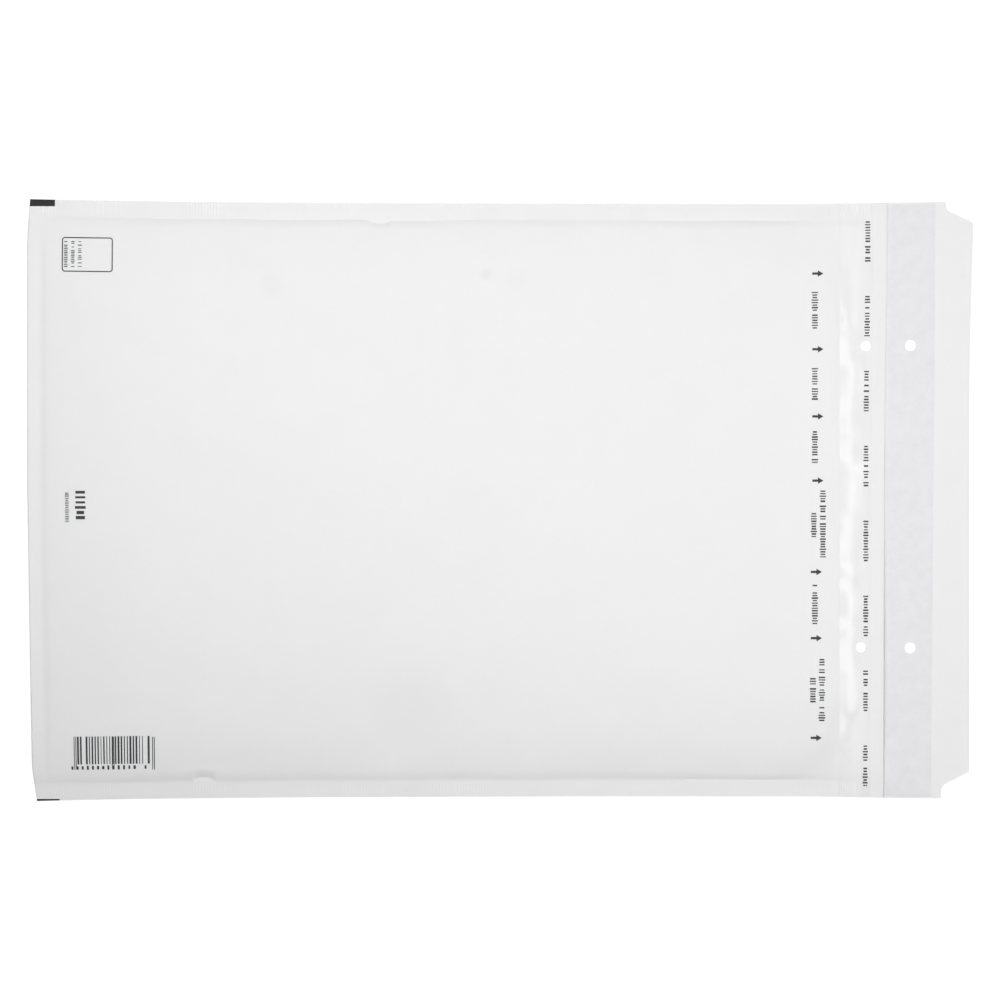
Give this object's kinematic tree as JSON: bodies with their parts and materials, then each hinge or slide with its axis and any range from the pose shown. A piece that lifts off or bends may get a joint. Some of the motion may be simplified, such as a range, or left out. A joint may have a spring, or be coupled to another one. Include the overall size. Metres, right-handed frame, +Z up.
{
  "type": "padded envelope",
  "caption": "Empty white padded envelope lying on its back with the flap open, with a bubble-film pocket, pressed side seals, a folded bottom, fastener holes and a covered adhesive strip.",
  "frame": {"origin": "on the floor under the middle of the whole length and width", "axes": "+X from the bottom fold to the tip of the open flap, +Y across the width, +Z up out of the front panel"},
  "size_m": [0.502, 0.32, 0.0099],
  "materials": {
    "white_paper": "smooth white kraft paper, matt",
    "bubble_film": "clear polyethylene bubble film",
    "clear_tape": "clear glossy film",
    "hot_melt": "pale pressure-sensitive hot melt",
    "liner_paper": "siliconised paper, cloudy and slightly glossy"
  },
  "bodies": {
    "root": {"outer_paper": "white_paper", "bubble_lining": "bubble_film", "reopen_tape": "clear_tape", "adhesive_strip": "hot_melt", "release_liner": "liner_paper"}
  },
  "joints": []
}
